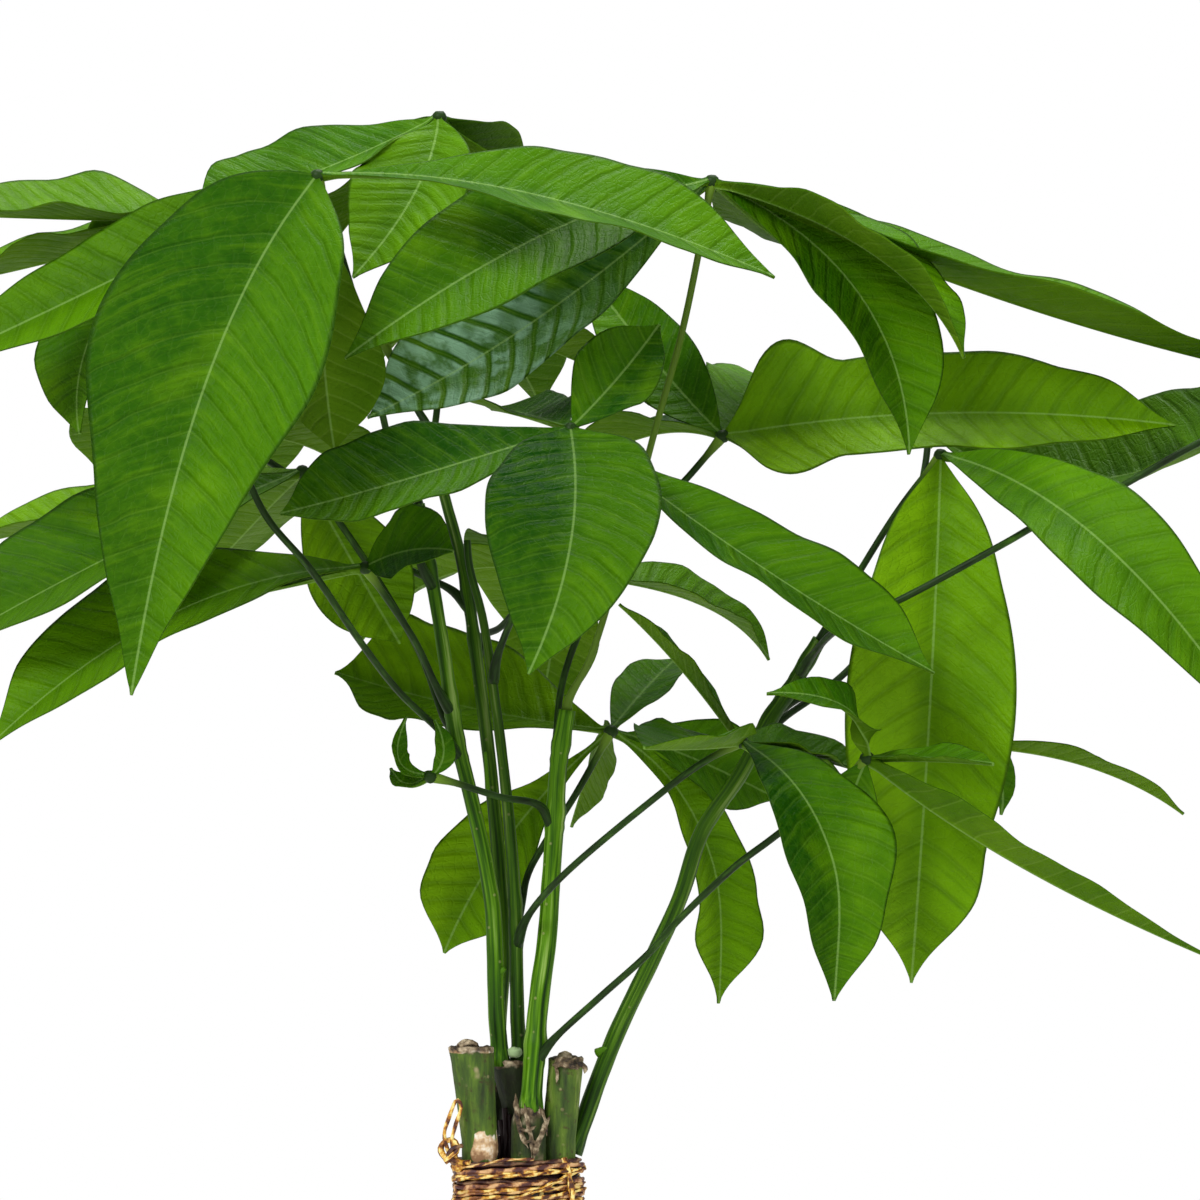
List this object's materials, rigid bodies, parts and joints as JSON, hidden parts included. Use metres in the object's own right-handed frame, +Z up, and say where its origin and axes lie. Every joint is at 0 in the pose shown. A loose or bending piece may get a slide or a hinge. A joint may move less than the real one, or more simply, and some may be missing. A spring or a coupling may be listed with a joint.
{
  "type": "potted money tree",
  "caption": "Potted money tree: plaited trunks in a plain round pot, tied and cut off near the top, with slim green shoots and a spreading crown of palmate leaves.",
  "frame": {"origin": "middle of the underside of the pot, on the surface that the pot stands on", "axes": "+Z up along the plaited trunks, -Y towards the viewer of the picture, +X to that viewer's right"},
  "size_m": [0.3955, 0.2436, 0.5427],
  "materials": {
    "leaf": "waxy green leaf with a paler raised midrib and curved side veins, satin sheen",
    "green_shoot": "smooth green young stem, satin",
    "trunk_bark": "green to grey-brown smooth bark with pale lenticels and a dry cut top, matte",
    "raffia": "golden twisted plant fibre, matte",
    "potting_soil": "dark crumbly peat soil, matte",
    "pot_glaze": "plain cream glaze over stoneware, satin"
  },
  "bodies": {
    "root": {"leaf_back_left": "leaf", "leaf_back_low": "leaf", "leaf_back_right": "leaf", "leaf_back_top": "leaf", "leaf_centre": "leaf", "leaf_centre_low": "leaf", "leaf_far_left": "leaf", "leaf_far_right": "leaf", "leaf_front_left": "leaf", "leaf_hanging_right": "leaf", "leaf_left_back": "leaf", "leaf_left_middle": "leaf", "leaf_low_back": "leaf", "leaf_low_front": "leaf", "leaf_low_right": "leaf", "leaf_right_middle": "leaf", "leaf_top": "leaf", "leaf_upper_right": "leaf", "leaf_young": "leaf", "pot": "pot_glaze", "shoot_back": "green_shoot", "shoot_left": "green_shoot", "shoot_middle": "green_shoot", "shoot_outer": "green_shoot", "shoot_right": "green_shoot", "soil": "potting_soil", "tie": "raffia", "trunk_left": "trunk_bark", "trunk_left_back": "trunk_bark", "trunk_middle_back": "trunk_bark", "trunk_middle_front": "trunk_bark", "trunk_right": "trunk_bark"}
  },
  "joints": []
}
